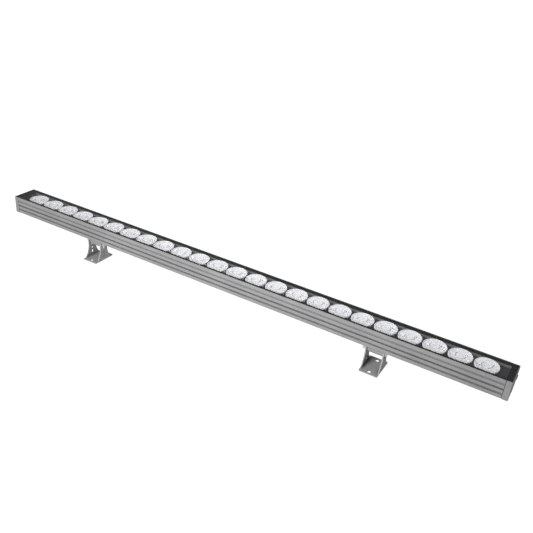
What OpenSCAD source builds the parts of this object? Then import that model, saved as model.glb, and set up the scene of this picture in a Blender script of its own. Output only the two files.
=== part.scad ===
// Linear outdoor wall washer: a grooved aluminium bar with one row of optics under flat glass,
// on two folded feet that tilt on cross bolts and slide along a slot under the bar.
// The bar runs along X and the light leaves along +Z. The origin is on the plane that the feet
// stand on, below the middle of the bar.

/* [Optics] */
// Number of optics along the bar
lens_count = 24; // [20:2:30]
// Gap between neighbouring optics
lens_gap = 2.25; // [2:0.05:6]
// Gap between an optic and the ledges beside it
lens_side_gap = 1.75; // [1:0.05:2.5]
// Thickness of the flange at the top of an optic
flange_t = 2.4; // [1.8:0.1:3.5]
// Radius of the ring that an optic stands on
lens_foot_r = 9.5; // [8:0.1:10.5]
// Height of the ring that an optic stands on
lens_foot_h = 4; // [2:0.5:6]
// Radius of the hollow over the emitter
lens_hollow_r = 6; // [4:0.1:7]
// Height of the hollow over the emitter
lens_hollow_h = 8; // [4:0.1:9]
// Radius of an optic's two legs
lens_leg_r = 1.6; // [1:0.1:2]

/* [Bar] */
// Width of the bar
bar_w = 50; // [44:0.5:60]
// Height of the bar
bar_h = 34; // [33:0.5:44]
// Length of each end bay, from the last optic's space to the face of the end cap
end_bay = 23; // [19.5:0.5:40]
// Thickness of the side walls between grooves
wall_t = 3; // [2.8:0.1:4]
// Thickness of the bottom walls and of the slot's lips
base_t = 2.2; // [1.8:0.1:3]
// Thickness of the floor that carries the boards
floor_t = 2.6; // [2:0.1:4]
// Bevel along the bottom edges
edge_bevel = 1.6; // [0.5:0.1:2]
// Width of a side groove at its mouth
groove_w = 3.2; // [2:0.1:4]
// Depth of the deepest side groove
groove_depth = 1.3; // [0.6:0.1:1.5]
// Width of the ledge under the glass
ledge_w = 1.5; // [1:0.1:2]
// Thickness of the ledge under the glass
ledge_t = 1.5; // [1:0.1:2]

/* [Mounting slot] */
// Width of the slot's mouth
slot_mouth_w = 8; // [7:0.1:9]
// Width of the slot's cavity
slot_w = 13.2; // [12:0.1:14]
// Height of the slot's cavity
slot_h = 4.2; // [3.8:0.1:6]
// Thickness of the slot's side walls
slot_wall_t = 1.8; // [1.2:0.1:2.4]
// Solid metal over the slot
slot_roof_t = 4.6; // [3:0.1:6]

/* [Glass] */
// Thickness of the glass
glass_t = 4; // [3:0.1:5]
// Thickness of the border printed under the glass
border_t = 0.3; // [0.2:0.05:0.4]
// Width of the printed border along the long sides
border_side_w = 6.15; // [4:0.05:8]
// Width of the printed border at the ends
border_end_w = 9.6; // [6:0.1:12]
// Thickness of the silicone bed under the glass
bed_t = 0.6; // [0.4:0.1:1.5]
// Width of the metal rim beside the glass
rim_w = 1; // [0.8:0.1:1.4]
// Width of the metal rim at the end of the glass
end_rim_w = 1.2; // [1:0.1:2]
// Thickness of the lens plate
plate_t = 1; // [0.8:0.1:1.5]

/* [Electronics] */
// Thickness of the boards
board_t = 1.6; // [1:0.1:2]
// Width across an emitter
led_w = 3.5; // [2.5:0.1:5]
// Height of an emitter's base
led_h = 0.9; // [0.5:0.1:1.5]
// Shank radius of the board screws
board_screw_r = 1.5; // [1.2:0.1:2]

/* [End caps] */
// Thickness of an end cap
cap_t = 9.2; // [8:0.1:12]
// Thickness of an end gasket
gasket_t = 0.8; // [0.5:0.1:1.5]
// Rounding of an end cap's upright and bottom edges
cap_round_r = 1.5; // [1:0.1:2.2]
// Shank radius of the end cap screws
end_screw_r = 2; // [1.5:0.1:2.2]
// Outer radius of the screw ports
port_r = 3.2; // [3:0.1:3.6]

/* [Cable gland] */
// Gap between the gland's nut and the walls of its chamber
gland_nut_gap = 0.8; // [0.5:0.1:1.2]
// Thinnest wall of the gland's nut
gland_nut_wall = 1; // [0.8:0.1:1.4]
// Wall of the insert round the cable
insert_wall = 1.35; // [1:0.05:1.5]
// Distance from the gland to the end of the housing
gland_from_end = 22; // [20:0.5:40]

/* [Feet] */
// Distance of the left foot from the middle of the bar
foot_left_x = 303; // [60:1:330]
// Distance of the right foot from the middle of the bar
foot_right_x = 290; // [60:1:330]
// Width of a foot along the bar
foot_w = 32; // [30:0.5:36]
// Length of a foot's base plate across the bar
foot_l = 49; // [44:0.5:54]
// Thickness of a foot's sheet
sheet_t = 2; // [1.5:0.1:2.5]
// Radius of the base plate's screw holes
foot_hole_r = 3.25; // [2.5:0.05:4]
// Distance between the base plate's screw holes
foot_hole_spacing = 36; // [30:0.5:38]
// Half the width of an arm at the base plate
arm_base_half = 18; // [16:0.5:20]
// Radius of an arm's top
arm_top_r = 9; // [8:0.1:9.5]
// Radius of an arm's spare holes
arm_hole_r = 2.25; // [1.5:0.05:2.7]
// Height of an arm's lowest hole
arm_hole_low = 10; // [9:0.5:12]
// Distance between an arm's holes
arm_hole_pitch = 8; // [7.5:0.1:9]
// Distance from the pivot up to the bar
pivot_drop = 15.5; // [15:0.1:18]

/* [Saddles] */
// Length of a saddle along the bar
saddle_l = 60; // [58:0.5:70]
// Width of a saddle across the bar
saddle_w = 16; // [14:0.5:18]
// Thickness of a saddle's plate
saddle_t = 3; // [2.5:0.1:4]
// Radius of the hinge barrel
barrel_r = 6.5; // [5.5:0.1:7]
// Radius of the pivot bolt
pivot_r = 3; // [2.5:0.1:3.2]
// Shank radius of the saddle screws
saddle_screw_r = 2.5; // [2:0.1:3]
// Length of a slot nut along the bar
slot_nut_l = 14; // [10:0.5:16]

/* [Hidden] */
// Overrun of every cut
cut = 1;
// Gap of a running fit, and of a screw in its own thread
fit = 0.05;
// Gap round a shank in a clearance hole
shank_gap = 0.2;
// Gap beside a piece that drops into a recess
drop_gap = 0.2;
// Gap beside a piece that slides in a channel
slide_gap = 0.1;
$fn = 64;

// Heights above the bottom of the bar
floor_top = base_t + slot_h + slot_roof_t;
board_top = floor_top + board_t;
glass_bottom = bar_h - glass_t;
border_bottom = glass_bottom - border_t;
rebate_z = border_bottom - bed_t;
// Air between the optics and the printed border
lens_air = 0.8;
lens_top = border_bottom - lens_air;
lens_h = lens_top - board_top;

// Places across the bar
half_w = bar_w / 2;
inner_half = half_w - wall_t;
rebate_half = half_w - rim_w;
lens_r = inner_half - ledge_w - lens_side_gap;
chamber_start = slot_w / 2 + slot_wall_t;
chamber_mid = (chamber_start + inner_half) / 2;
chamber_top = floor_top - floor_t;

// Places along the bar
lens_pitch = 2 * lens_r + lens_gap;
half_l = lens_count * lens_pitch / 2 + end_bay;
cap_start = half_l - cap_t;
housing_half = cap_start - gasket_t;
glass_end = half_l - end_rim_w;
function lens_x(i) = (i - (lens_count - 1) / 2) * lens_pitch;

// Side grooves: heights as shares of the bar's height, depths as shares of the deepest one
groove_z_shares = [0.25, 0.5, 0.75];
groove_depth_shares = [0.85, 1, 0.6];
groove_floor_share = 0.4;

// Optic: the cone under the flange and the legs beside it
cone_step = 1.25;
cone_top_r = lens_r - cone_step;
leg_place_share = 0.747;
lens_leg_x = lens_r * leg_place_share;
hollow_top_share = 0.7;
function cone_r(z) = lens_foot_r + (cone_top_r - lens_foot_r) * (z - board_top - lens_foot_h)
    / (lens_h - flange_t - lens_foot_h);

// Screw ports on the side walls
port_lift = 1.2;
port_wall = 0.8;
port_y = inner_half - port_r - port_wall;
port_z = board_top + port_lift + port_r;

// Lens plate, lying on the flat tops of the ports
plate_bottom = port_z + port_r;
plate_top = plate_bottom + plate_t;

// Boards and what they carry
board_gap = 0.4;
board_side_gap = 0.5;
board_half_w = inner_half - board_side_gap;
board_past_leg = 1.4;
board_half_l = lens_x(lens_count - 1) + lens_leg_x + lens_leg_r + board_past_leg;
led_dome_r = 1.3;
led_dome_h = 0.5;
regulator_l = 5;
regulator_w = 6;
regulator_t = 1.7;
regulator_gap_count = 4;
bridge_optic_gap = 4;
bridge_l = lens_pitch - 2 * (lens_foot_r + bridge_optic_gap);
bridge_t = 4.5;
bridge_leg_gap = 1.4;
bridge_port_gap = 1.8;
bridge_start = lens_leg_r + bridge_leg_gap;
bridge_w = port_y - port_r - bridge_port_gap - bridge_start;
bridge_y = bridge_start + bridge_w / 2;
board_screw_head_r = 2.6;
board_screw_port_gap = 0.2;
board_screw_head_h = port_lift - board_screw_port_gap;
board_screw_tip = 0.6;
board_screw_gap_count = 3;
board_screw_y = chamber_start + board_screw_head_r;
terminal_l = 8;
terminal_w = 18;
terminal_h = 8;
terminal_gap = 2;
terminal_x = board_half_l + terminal_gap + terminal_l / 2;
wire_r = 1.6;
wire_spacing = 9;
wire_hole_r = 2.5;

// End caps
cap_top_round_r = 0.8;
cap_pocket_depth = 5;
cap_pocket_gap = 1.8;
cap_pocket_half_w = port_y - port_r - cap_pocket_gap;
cap_pocket_roof = 3.6;
cap_pocket_h = rebate_z - cap_pocket_roof - port_z + port_r;
screw_head_r = 3.8;
screw_head_h = 2.4;
screw_head_proud = 1;
screw_grip = 10;
hex_key_r = 1.5;
hex_key_depth = 1.4;
gasket_inset = 0.4;
vent_head_r = 4.5;
vent_head_h = 1.8;
vent_sunk = 0.3;
vent_stem_r = 3;
vent_tail = 1.5;
vent_bore_r = 1;

// Cable gland under the left end of the bar
gland_x = -(housing_half - gland_from_end);
gland_nut_flat = (inner_half - chamber_start) / 2 - gland_nut_gap;
gland_r = gland_nut_flat - gland_nut_wall;
gland_hex_step = 1.5;
gland_flat = gland_r + gland_hex_step;
gland_flange_t = 3.5;
gland_neck_h = 7;
gland_nut_h = 3.5;
gland_tail = 0.4;
gland_shoulder = 0.5;
gland_wall = 1.6;
gland_neck_wall = 0.9;
gland_cap_step = 1.6;
gland_bore_r = gland_r - gland_wall;
gland_neck_bore_r = gland_r - gland_neck_wall;
cable_r = gland_neck_bore_r - insert_wall;
gland_cap_r = gland_r + gland_cap_step;
gland_cap_wall = 2;
insert_proud = 0.4;
insert_bottom = -(gland_flange_t + gland_neck_h + insert_proud);

// Feet, heights above the plane that they stand on
arm_spare_holes = 3;
pivot_z = arm_hole_low + arm_spare_holes * arm_hole_pitch;
bar_z = pivot_z + pivot_drop;
flank_top_share = 0.75;
arm_flank_top = pivot_z - flank_top_share * arm_hole_pitch;
arm_slot_l = 2.5;
foot_corner_r = 1.5;
arm_inner = foot_w / 2 - sheet_t;
barrel_half = arm_inner - slide_gap;
neck_share = 0.8;
neck_half = neck_share * barrel_r;

// Saddles and slot nuts
key_short = 0.3;
key_h = base_t - key_short;
key_half = slot_mouth_w / 2 - slide_gap;
slot_nut_w = slot_w - 2 * drop_gap;
slot_nut_h = 3.3;
saddle_screw_x = (arm_inner + saddle_l / 2) / 2;
saddle_head_r = 4.25;
saddle_head_h = 2.75;
saddle_screw_tip = 0.5;

// Pivot hardware
washer_r = 6;
washer_t = 1.2;
pivot_nut_flat = 5;
pivot_nut_h = 5;
pivot_tip = 0.4;
pivot_head_r = 5.25;
pivot_head_h = 3.3;
head_round_share = 0.6;

lens_names = [for (i = [1:lens_count]) str("lens_", i < 10 ? "0" : "", i)];
bar_nodes = ["housing", "end_cap_left", "end_cap_right", "gasket_left", "gasket_right", "end_screws",
    "vent_plug", "glass", "glass_border", "glass_bed", "lens_plate", "board_left", "board_right",
    "leds", "regulators", "board_bridge", "board_screws", "terminal_block",
    "gland_body", "gland_insert", "gland_cap", "gland_nut"];
left_nodes = ["saddle_left", "slot_nuts_left", "saddle_screws_left", "foot_left", "pivot_bolt_left",
    "pivot_nut_left", "pivot_washer_left"];
right_nodes = ["saddle_right", "slot_nuts_right", "saddle_screws_right", "foot_right", "pivot_bolt_right",
    "pivot_nut_right", "pivot_washer_right"];

// Shared forms

// Carries its children from the bottom of the bar to where the bar lies
module on_bar() {
    translate([0, 0, bar_z]) children();
}

// Draws a YZ outline as a solid along X, between two places
module along_x(from, to) {
    translate([from, 0, 0]) rotate([90, 0, 90]) linear_extrude(height = to - from) children();
}

// A cylinder along X, between two places
module rod_x(r, from, to, sides = 64) {
    translate([from, 0, 0]) rotate([0, 90, 0]) cylinder(r = r, h = to - from, $fn = sides);
}

// A six-sided prism with two flats across Y
module hexagon(flat, h) {
    cylinder(r = flat / cos(30), h = h, $fn = 6);
}

// The bar's outline across its length, drawn in by an inset
module bar_outline(inset = 0) {
    w = half_w - inset;
    polygon([[-w + edge_bevel, inset], [w - edge_bevel, inset], [w, inset + edge_bevel],
        [w, bar_h - inset], [-w, bar_h - inset], [-w, inset + edge_bevel]]);
}

// One side groove at the right-hand side of the outline
module groove(i) {
    z = bar_h * groove_z_shares[i];
    d = groove_depth * groove_depth_shares[i];
    floor_w = groove_w * groove_floor_share;
    polygon([[half_w + cut, z - groove_w / 2], [half_w, z - groove_w / 2], [half_w - d, z - floor_w / 2],
        [half_w - d, z + floor_w / 2], [half_w, z + groove_w / 2], [half_w + cut, z + groove_w / 2]]);
}

// Ledge for the glass and screw port, on the right-hand wall
module wall_fittings() {
    translate([inner_half - ledge_w, rebate_z - ledge_t]) square([ledge_w + wall_t / 2, ledge_t]);
    difference() {
        union() {
            translate([port_y, port_z]) circle(r = port_r);
            translate([port_y, port_z - port_r]) square([inner_half + wall_t / 2 - port_y, 2 * port_r]);
        }
        translate([port_y, port_z]) circle(r = end_screw_r + fit);
    }
}

// The housing's section
module housing_section() {
    difference() {
        bar_outline();
        for (s = [0, 1]) mirror([s, 0]) {
            for (i = [0:2]) groove(i);
            translate([chamber_start, base_t])
                square([inner_half - chamber_start, chamber_top - base_t]);
        }
        translate([-inner_half, floor_top]) square([2 * inner_half, bar_h]);
        translate([-rebate_half, rebate_z]) square([2 * rebate_half, bar_h]);
        translate([-slot_w / 2, base_t]) square([slot_w, slot_h]);
        translate([-slot_mouth_w / 2, -cut]) square([slot_mouth_w, base_t + 2 * cut]);
    }
    for (s = [0, 1]) mirror([s, 0]) wall_fittings();
}

// Bar

module housing() {
    color("#9a9c9e") on_bar() difference() {
        along_x(-housing_half, housing_half) housing_section();
        translate([gland_x, chamber_mid, -cut]) cylinder(r = gland_r + fit, h = base_t + 2 * cut);
        translate([-terminal_x, chamber_mid, chamber_top - cut])
            cylinder(r = wire_hole_r, h = floor_t + 2 * cut);
        for (p = board_screw_places())
            translate([p[0], p[1], chamber_top - cut])
                cylinder(r = board_screw_r + fit, h = floor_t + 2 * cut);
    }
}

// Places of the end cap screws, as heights above the bar's bottom and distances across it
module at_end_screws() {
    for (y = [-port_y, port_y]) translate([0, y, port_z]) children();
}

// The outer form of an end cap at +X, with softened edges
module cap_form() {
    intersection() {
        along_x(cap_start, half_l) bar_outline();
        translate([0, 0, -cut]) linear_extrude(height = bar_h + 2 * cut) union() {
            translate([cap_start - cut, -half_w - cut]) square([cap_t + cut - cap_round_r, bar_w + 2 * cut]);
            translate([cap_start - cut, cap_round_r - half_w]) square([cap_t + cut, bar_w - 2 * cap_round_r]);
            for (y = [-1, 1])
                translate([half_l - cap_round_r, y * (half_w - cap_round_r)]) circle(r = cap_round_r);
        }
        translate([0, half_w + cut, 0]) rotate([90, 0, 0]) linear_extrude(height = bar_w + 2 * cut) union() {
            translate([cap_start - cut, -cut]) square([cap_t + cut - cap_round_r, bar_h + 2 * cut]);
            translate([cap_start - cut, cap_round_r])
                square([cap_t + cut, bar_h - cap_round_r - cap_top_round_r]);
            translate([half_l - cap_round_r, cap_round_r]) circle(r = cap_round_r);
            translate([half_l - cap_top_round_r, bar_h - cap_top_round_r]) circle(r = cap_top_round_r);
            translate([half_l - cap_round_r - cut, bar_h - cap_top_round_r - cut])
                square([cap_round_r + cut - cap_top_round_r, cap_top_round_r + cut]);
        }
    }
}

// An end cap at +X; only one of the two has the hole for the vent
module end_cap(vented) {
    color("#8f9193") on_bar() difference() {
        cap_form();
        translate([cap_start - cut, -rebate_half, rebate_z])
            cube([cut + glass_end - cap_start, 2 * rebate_half, bar_h]);
        translate([cap_start - cut, -cap_pocket_half_w, port_z - port_r])
            cube([cut + cap_pocket_depth, 2 * cap_pocket_half_w, cap_pocket_h]);
        at_end_screws() {
            rod_x(end_screw_r + shank_gap, cap_start - cut, half_l + cut);
            rod_x(screw_head_r + shank_gap, half_l - screw_head_h + screw_head_proud, half_l + cut);
        }
        if (vented) translate([0, 0, port_z]) {
            rod_x(vent_stem_r + shank_gap, cap_start - cut, half_l + cut);
            rod_x(vent_head_r + shank_gap, half_l - vent_head_h - vent_sunk, half_l + cut);
        }
    }
}

module end_cap_left() {
    mirror([1, 0, 0]) end_cap(false);
}

module end_cap_right() {
    end_cap(true);
}

module gasket() {
    color("#2b2b2c") on_bar() difference() {
        along_x(housing_half, cap_start) difference() {
            bar_outline(gasket_inset);
            translate([-rebate_half - cut, rebate_z]) square([2 * (rebate_half + cut), bar_h]);
            translate([-cap_pocket_half_w, port_z - port_r])
                square([2 * cap_pocket_half_w, cap_pocket_h]);
        }
        at_end_screws() rod_x(end_screw_r + shank_gap, housing_half - cut, cap_start + cut);
    }
}

module gasket_left() {
    mirror([1, 0, 0]) gasket();
}

module gasket_right() {
    gasket();
}

module end_screws() {
    face = half_l + screw_head_proud;
    color("#6f6a66") on_bar() for (s = [0, 1]) mirror([s, 0, 0]) at_end_screws() difference() {
        union() {
            rod_x(screw_head_r, face - screw_head_h, face);
            rod_x(end_screw_r, housing_half - screw_grip, face - screw_head_h / 2);
        }
        rod_x(hex_key_r, face - hex_key_depth, face + cut, 6);
    }
}

module vent_plug() {
    face = half_l - vent_sunk;
    color("#303133") on_bar() translate([0, 0, port_z]) difference() {
        union() {
            rod_x(vent_head_r, face - vent_head_h, face);
            rod_x(vent_stem_r, cap_start + cap_pocket_depth - vent_tail, face);
        }
        rod_x(vent_bore_r, cap_start, face + cut);
    }
}

module glass() {
    l = glass_end - drop_gap;
    w = rebate_half - drop_gap;
    color("#cfd6dc", 0.4) on_bar() translate([-l, -w, glass_bottom]) cube([2 * l, 2 * w, glass_t]);
}

module glass_border() {
    l = glass_end - drop_gap;
    w = rebate_half - drop_gap;
    color("#141416") on_bar() translate([0, 0, border_bottom]) difference() {
        translate([-l, -w, 0]) cube([2 * l, 2 * w, border_t]);
        translate([border_end_w - l, border_side_w - w, -cut])
            cube([2 * (l - border_end_w), 2 * (w - border_side_w), border_t + 2 * cut]);
    }
}

module glass_bed() {
    l = glass_end - 2 * drop_gap;
    w = rebate_half - 2 * drop_gap;
    ledge_half = inner_half - ledge_w;
    color("#1d1d1f") on_bar() translate([0, 0, rebate_z]) difference() {
        translate([-l, -w, 0]) cube([2 * l, 2 * w, bed_t]);
        translate([-cap_start, -ledge_half, -cut]) cube([2 * cap_start, 2 * ledge_half, bed_t + 2 * cut]);
    }
}

module lens_plate() {
    l = housing_half - drop_gap;
    w = inner_half - drop_gap;
    color("#3a3c40") on_bar() translate([0, 0, plate_bottom]) difference() {
        translate([-l, -w, 0]) cube([2 * l, 2 * w, plate_t]);
        for (i = [0:lens_count - 1])
            translate([lens_x(i), 0, -cut]) {
                cylinder(r = cone_r(plate_top) + drop_gap, h = plate_t + 2 * cut);
                for (x = [-lens_leg_x, lens_leg_x])
                    translate([x, 0, 0]) cylinder(r = lens_leg_r + drop_gap, h = plate_t + 2 * cut);
            }
    }
}

// One optic: a cone that stands on its foot ring, a flange and two legs
module lens(i) {
    color("#e2e5f0") on_bar() translate([lens_x(i), 0, board_top]) {
        rotate_extrude() polygon([[lens_hollow_r, 0], [lens_foot_r, 0], [lens_foot_r, lens_foot_h],
            [cone_top_r, lens_h - flange_t], [lens_r, lens_h - flange_t], [lens_r, lens_h], [0, lens_h],
            [0, lens_hollow_h], [lens_hollow_r * hollow_top_share, lens_hollow_h]]);
        for (x = [-lens_leg_x, lens_leg_x])
            translate([x, 0, 0]) cylinder(r = lens_leg_r, h = lens_h - flange_t / 2);
    }
}

// Boards

// Gaps between optics that lie at one side of the middle, when only every nth one is taken
function gaps_aside(every) = floor((lens_count / 2 - 1) / every);

// Middles of the gaps between optics, every nth one counted from the middle of the bar
function gap_places(every) =
    [for (k = [-gaps_aside(every):gaps_aside(every)]) k * every * lens_pitch];

// Screws stand at both sides of the row, with none beside the bridge
function board_screw_places() =
    [for (x = gap_places(board_screw_gap_count), y = [-board_screw_y, board_screw_y]) if (x != 0) [x, y]];

module board(from, to) {
    color("#e9ebe8") on_bar() difference() {
        translate([from, -board_half_w, floor_top]) cube([to - from, 2 * board_half_w, board_t]);
        for (p = board_screw_places()) translate([p[0], p[1], floor_top - cut])
            cylinder(r = board_screw_r + shank_gap, h = board_t + 2 * cut);
    }
}

module board_left() {
    board(-board_half_l, -board_gap / 2);
}

module board_right() {
    board(board_gap / 2, board_half_l);
}

module leds() {
    color("#f0d36a") on_bar() for (i = [0:lens_count - 1]) translate([lens_x(i), 0, board_top]) {
        translate([-led_w / 2, -led_w / 2, 0]) cube([led_w, led_w, led_h]);
        cylinder(r = led_dome_r, h = led_h + led_dome_h);
    }
}

module regulators() {
    color("#222326") on_bar() for (x = gap_places(regulator_gap_count)) if (x != 0)
        translate([x - regulator_l / 2, -regulator_w / 2, board_top])
            cube([regulator_l, regulator_w, regulator_t]);
}

module board_bridge() {
    color("#f2f0ea") on_bar() translate([-bridge_l / 2, bridge_y - bridge_w / 2, board_top])
        cube([bridge_l, bridge_w, bridge_t]);
}

module board_screws() {
    color("#b9bbbd") on_bar() for (p = board_screw_places()) translate([p[0], p[1], 0]) {
        translate([0, 0, board_top]) cylinder(r = board_screw_head_r, h = board_screw_head_h);
        translate([0, 0, chamber_top - board_screw_tip])
            cylinder(r = board_screw_r, h = board_top + board_screw_head_h - chamber_top + board_screw_tip);
    }
}

module terminal_block() {
    color("#3f7f4f") on_bar() translate([-terminal_x, 0, floor_top]) difference() {
        translate([-terminal_l / 2, -terminal_w / 2, 0]) cube([terminal_l, terminal_w, terminal_h]);
        for (y = [-wire_spacing / 2, wire_spacing / 2])
            translate([0, y, terminal_h / 2]) rod_x(wire_r, -terminal_l / 2 - cut, 0);
    }
}

// Cable gland, hanging under the back chamber of the housing

module at_gland() {
    on_bar() translate([gland_x, chamber_mid, 0]) children();
}

module gland_body() {
    shoulder_z = -gland_flange_t - gland_shoulder;
    color("#1f2022") at_gland() difference() {
        union() {
            translate([0, 0, -gland_flange_t]) hexagon(gland_flat, gland_flange_t);
            translate([0, 0, -gland_flange_t - gland_neck_h])
                cylinder(r = gland_r, h = gland_flange_t + gland_neck_h + base_t + gland_nut_h + gland_tail);
        }
        translate([0, 0, insert_bottom - cut]) cylinder(r = gland_bore_r, h = bar_h);
        translate([0, 0, insert_bottom - cut])
            cylinder(r = gland_neck_bore_r, h = shoulder_z - insert_bottom + cut);
    }
}

module gland_insert() {
    top = -gland_flange_t - gland_shoulder;
    color("#2e2e30") at_gland() translate([0, 0, insert_bottom]) difference() {
        cylinder(r = gland_neck_bore_r - fit, h = top - insert_bottom);
        translate([0, 0, -cut]) cylinder(r = cable_r, h = top - insert_bottom + 2 * cut);
    }
}

module gland_cap() {
    bottom = insert_bottom - gland_cap_wall;
    color("#1f2022") at_gland() difference() {
        translate([0, 0, bottom]) cylinder(r = gland_cap_r, h = -gland_flange_t - drop_gap - bottom);
        translate([0, 0, insert_bottom]) cylinder(r = gland_r + fit, h = bar_h);
        translate([0, 0, bottom - cut]) cylinder(r = gland_bore_r, h = bar_h);
    }
}

module gland_nut() {
    color("#1f2022") at_gland() translate([0, 0, base_t]) difference() {
        hexagon(gland_nut_flat, gland_nut_h);
        translate([0, 0, -cut]) cylinder(r = gland_r + fit, h = gland_nut_h + 2 * cut);
    }
}

// Saddles, each given by its place along the bar

module saddle(x) {
    color("#8a8c8e") translate([x, 0, 0]) difference() {
        union() {
            translate([-saddle_l / 2, -saddle_w / 2, bar_z - fit - saddle_t])
                cube([saddle_l, saddle_w, saddle_t]);
            translate([-saddle_l / 2, -key_half, bar_z - fit - saddle_t])
                cube([saddle_l, 2 * key_half, saddle_t + key_h]);
            translate([-barrel_half, -neck_half, pivot_z])
                cube([2 * barrel_half, 2 * neck_half, pivot_drop - fit - saddle_t / 2]);
            translate([0, 0, pivot_z]) rod_x(barrel_r, -barrel_half, barrel_half);
        }
        translate([0, 0, pivot_z]) rod_x(pivot_r + fit, -barrel_half - cut, barrel_half + cut);
        for (s = [-saddle_screw_x, saddle_screw_x])
            translate([s, 0, pivot_z]) cylinder(r = saddle_screw_r + shank_gap, h = pivot_drop + bar_h);
    }
}

module slot_nuts(x) {
    color("#a7a9ab") translate([x, 0, bar_z + base_t + fit]) for (s = [-saddle_screw_x, saddle_screw_x])
        translate([s, 0, 0]) difference() {
            translate([-slot_nut_l / 2, -slot_nut_w / 2, 0]) cube([slot_nut_l, slot_nut_w, slot_nut_h]);
            translate([0, 0, -cut]) cylinder(r = saddle_screw_r + fit, h = slot_nut_h + 2 * cut);
        }
}

module saddle_screws(x) {
    seat_z = bar_z - fit - saddle_t;
    tip_z = bar_z + base_t + slot_nut_h - saddle_screw_tip;
    color("#b5b3af") translate([x, 0, 0]) for (s = [-saddle_screw_x, saddle_screw_x])
        translate([s, 0, seat_z - saddle_head_h]) difference() {
            union() {
                cylinder(r = saddle_head_r, h = saddle_head_h);
                cylinder(r = saddle_screw_r, h = tip_z - seat_z + saddle_head_h);
            }
            translate([0, 0, -cut]) cylinder(r = hex_key_r, h = hex_key_depth + cut, $fn = 6);
        }
}

// Feet, each given by its place along the bar

// The outline of an arm: a straight-sided neck that flares to the base plate in two arcs
module arm_outline() {
    dw = arm_base_half - arm_top_r;
    dz = arm_flank_top - sheet_t;
    flank_r = (dw * dw + dz * dz) / (2 * dw);
    difference() {
        union() {
            translate([0, pivot_z]) circle(r = arm_top_r);
            translate([-arm_top_r, sheet_t]) square([2 * arm_top_r, pivot_z - sheet_t]);
            translate([-arm_base_half, 0]) square([2 * arm_base_half, arm_flank_top]);
        }
        for (s = [-1, 1])
            translate([s * (arm_top_r + flank_r), arm_flank_top]) circle(r = flank_r, $fn = 128);
        for (i = [1:arm_spare_holes - 1])
            translate([0, arm_hole_low + i * arm_hole_pitch]) circle(r = arm_hole_r);
        translate([0, pivot_z]) circle(r = pivot_r + slide_gap);
        translate([-arm_hole_r, arm_hole_low - arm_slot_l / 2]) square([2 * arm_hole_r, arm_slot_l]);
        for (s = [-1, 1]) translate([0, arm_hole_low + s * arm_slot_l / 2]) circle(r = arm_hole_r);
    }
}

module foot(x) {
    color("#7d7f81") translate([x, 0, 0]) {
        difference() {
            linear_extrude(height = sheet_t) union() {
                square([foot_w, foot_l - 2 * foot_corner_r], center = true);
                square([foot_w - 2 * foot_corner_r, foot_l], center = true);
                for (s = [-1, 1], t = [-1, 1])
                    translate([s * (foot_w / 2 - foot_corner_r), t * (foot_l / 2 - foot_corner_r)])
                        circle(r = foot_corner_r);
            }
            for (y = [-foot_hole_spacing / 2, foot_hole_spacing / 2])
                translate([0, y, -cut]) cylinder(r = foot_hole_r, h = sheet_t + 2 * cut);
        }
        along_x(arm_inner, foot_w / 2) arm_outline();
        along_x(-foot_w / 2, -arm_inner) arm_outline();
    }
}

module pivot_bolt(x) {
    end_x = -(foot_w / 2 + washer_t + pivot_nut_h + pivot_tip);
    step = pivot_head_h * head_round_share;
    color("#b5b3af") translate([x, 0, pivot_z]) difference() {
        union() {
            rod_x(pivot_r, end_x, foot_w / 2 + pivot_head_h / 2);
            rod_x(pivot_head_r, foot_w / 2, foot_w / 2 + pivot_head_h - step);
            translate([foot_w / 2 + pivot_head_h - step, 0, 0]) rotate([0, 90, 0])
                cylinder(r1 = pivot_head_r, r2 = pivot_head_r - step, h = step);
        }
        rod_x(hex_key_r, foot_w / 2 + pivot_head_h - hex_key_depth, foot_w / 2 + pivot_head_h + cut, 6);
    }
}

module pivot_nut(x) {
    seat = foot_w / 2 + washer_t;
    color("#b5b3af") translate([x - seat - pivot_nut_h, 0, pivot_z]) difference() {
        rotate([0, 90, 0]) hexagon(pivot_nut_flat, pivot_nut_h);
        rod_x(pivot_r + fit, -cut, pivot_nut_h + cut);
    }
}

module pivot_washer(x) {
    color("#b5b3af") translate([x - foot_w / 2 - washer_t, 0, pivot_z]) difference() {
        rod_x(washer_r, 0, washer_t);
        rod_x(pivot_r + slide_gap, -cut, washer_t + cut);
    }
}

housing();
end_cap_left();
end_cap_right();
gasket_left();
gasket_right();
end_screws();
vent_plug();
glass();
glass_border();
glass_bed();
lens_plate();
board_left();
board_right();
leds();
regulators();
board_bridge();
board_screws();
terminal_block();
gland_body();
gland_insert();
gland_cap();
gland_nut();
for (i = [0:lens_count - 1]) lens(i);
saddle(-foot_left_x);  // saddle_left
slot_nuts(-foot_left_x);  // slot_nuts_left
saddle_screws(-foot_left_x);  // saddle_screws_left
foot(-foot_left_x);  // foot_left
pivot_bolt(-foot_left_x);  // pivot_bolt_left
pivot_nut(-foot_left_x);  // pivot_nut_left
pivot_washer(-foot_left_x);  // pivot_washer_left
saddle(foot_right_x);  // saddle_right
slot_nuts(foot_right_x);  // slot_nuts_right
saddle_screws(foot_right_x);  // saddle_screws_right
foot(foot_right_x);  // foot_right
pivot_bolt(foot_right_x);  // pivot_bolt_right
pivot_nut(foot_right_x);  // pivot_nut_right
pivot_washer(foot_right_x);  // pivot_washer_right
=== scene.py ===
"""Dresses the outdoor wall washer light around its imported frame: fine meshes, finishes, camera and light."""

import logging
import math
from dataclasses import dataclass
from enum import Enum
from typing import Callable, Optional, Sequence, Union

import bmesh
import bpy
from mathutils import Matrix, Vector


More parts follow.
